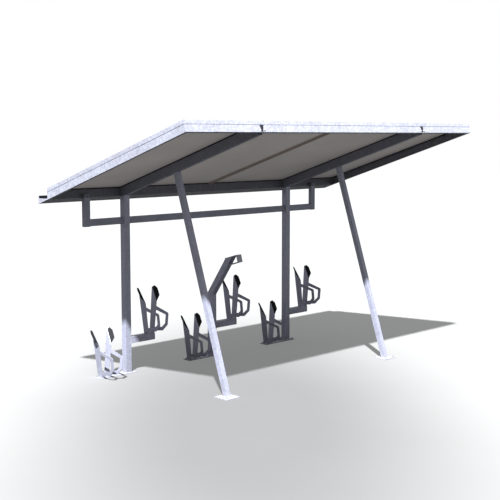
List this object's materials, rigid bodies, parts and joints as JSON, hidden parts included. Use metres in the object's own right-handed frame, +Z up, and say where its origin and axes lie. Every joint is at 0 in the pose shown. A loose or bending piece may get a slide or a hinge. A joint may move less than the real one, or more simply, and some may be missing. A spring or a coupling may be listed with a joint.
{
  "type": "bike shelter",
  "caption": "Open bike shelter: a tilted roof on square posts and raking struts, with a rear rail and low and high wheel holders on stands.",
  "frame": {"origin": "on the ground under the middle stand, midway between the two roof posts", "axes": "+X along the shelter to the right as seen from its open side, -Y towards the open high side, +Z up"},
  "size_m": [5, 2.4669, 3.0034],
  "materials": {
    "tube_zinc": "satin",
    "sheet_zinc": "satin",
    "roof_board": "matte"
  },
  "bodies": {
    "root": {"post_left": "tube_zinc", "post_right": "tube_zinc", "stand_post": "tube_zinc", "stand_arm": "tube_zinc", "lock_ring": "sheet_zinc", "base_plate_left": "sheet_zinc", "base_plate_middle": "sheet_zinc", "base_plate_right": "sheet_zinc", "strut_left": "tube_zinc", "strut_right": "tube_zinc", "strut_foot_left": "sheet_zinc", "strut_foot_right": "sheet_zinc", "rafter_left": "tube_zinc", "rafter_right": "tube_zinc", "front_beam": "sheet_zinc", "side_beam_left": "sheet_zinc", "side_beam_right": "sheet_zinc", "joint_bar": "tube_zinc", "roof_panel_left": "roof_board", "roof_panel_right": "roof_board", "trim_front": "sheet_zinc", "trim_left": "sheet_zinc", "trim_right": "sheet_zinc", "gutter": "sheet_zinc", "gutter_end_left": "sheet_zinc", "gutter_end_right": "sheet_zinc", "rail_middle": "tube_zinc", "rail_left": "tube_zinc", "rail_right": "tube_zinc", "hanger_left": "tube_zinc", "hanger_right": "tube_zinc", "holder_arm_left": "tube_zinc", "holder_arm_middle": "tube_zinc", "holder_arm_right": "tube_zinc", "holder_low_left": "sheet_zinc", "holder_low_middle": "sheet_zinc", "holder_low_right": "sheet_zinc", "holder_high_left": "sheet_zinc", "holder_high_middle": "sheet_zinc", "holder_high_right": "sheet_zinc"}
  },
  "joints": []
}
